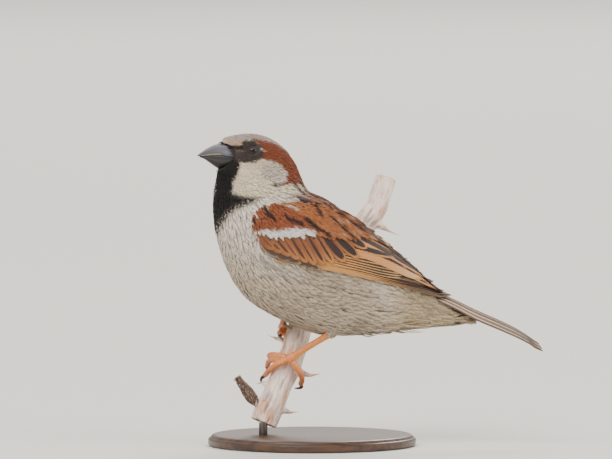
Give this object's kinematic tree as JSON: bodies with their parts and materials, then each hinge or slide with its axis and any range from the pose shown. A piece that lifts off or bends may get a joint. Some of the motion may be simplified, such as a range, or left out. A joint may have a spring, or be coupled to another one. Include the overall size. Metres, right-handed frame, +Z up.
{
  "type": "male house sparrow museum model on a perch",
  "caption": "Still, life-size model of a perched male house sparrow gripping a cut length of thorny stem, held by a plain round display base.",
  "frame": {"origin": "centre of the underside of the display stand's round base", "axes": "+Z up; the bill points to -X and the tail to +X; the bird's left side faces -Y"},
  "size_m": [0.1265, 0.0836, 0.1142],
  "materials": {
    "plumage": "soft body feathers: grey crown and underparts, chestnut nape, black bib, pale cheeks",
    "wing_feathers": "smooth wing feathers: chestnut and brown with black centres, buff edges and a white bar",
    "tail_feathers": "grey-brown tail feathers with pale edges",
    "bill": "horn, dark blue-grey, satin",
    "eye": "wet, dark brown to black",
    "leg": "scaled skin, orange-pink, satin",
    "claw": "horn, dark brown, satin",
    "stem": "dry grey-pink bark with orange-brown patches and fissures",
    "base": "dark stained wood, satin",
    "rod": "plain steel rod"
  },
  "bodies": {
    "root": {"head": "plumage", "neck": "plumage", "trunk": "plumage", "undertail": "plumage", "left_thigh": "plumage", "right_thigh": "plumage", "left_wing_coverts": "wing_feathers", "right_wing_coverts": "wing_feathers", "left_wing_quills": "wing_feathers", "right_wing_quills": "wing_feathers", "tail": "tail_feathers", "bill_upper": "bill", "bill_lower": "bill", "left_eye": "eye", "right_eye": "eye", "left_tarsus": "leg", "right_tarsus": "leg", "left_toe_1": "leg", "left_toe_2": "leg", "left_toe_3": "leg", "left_toe_4": "leg", "right_toe_1": "leg", "right_toe_2": "leg", "right_toe_3": "leg", "right_toe_4": "leg", "left_claw_1": "claw", "left_claw_2": "claw", "left_claw_3": "claw", "left_claw_4": "claw", "right_claw_1": "claw", "right_claw_2": "claw", "right_claw_3": "claw", "right_claw_4": "claw", "perch_stem": "stem", "perch_bud": "stem", "stand_base": "base", "stand_rod": "rod"}
  },
  "joints": []
}
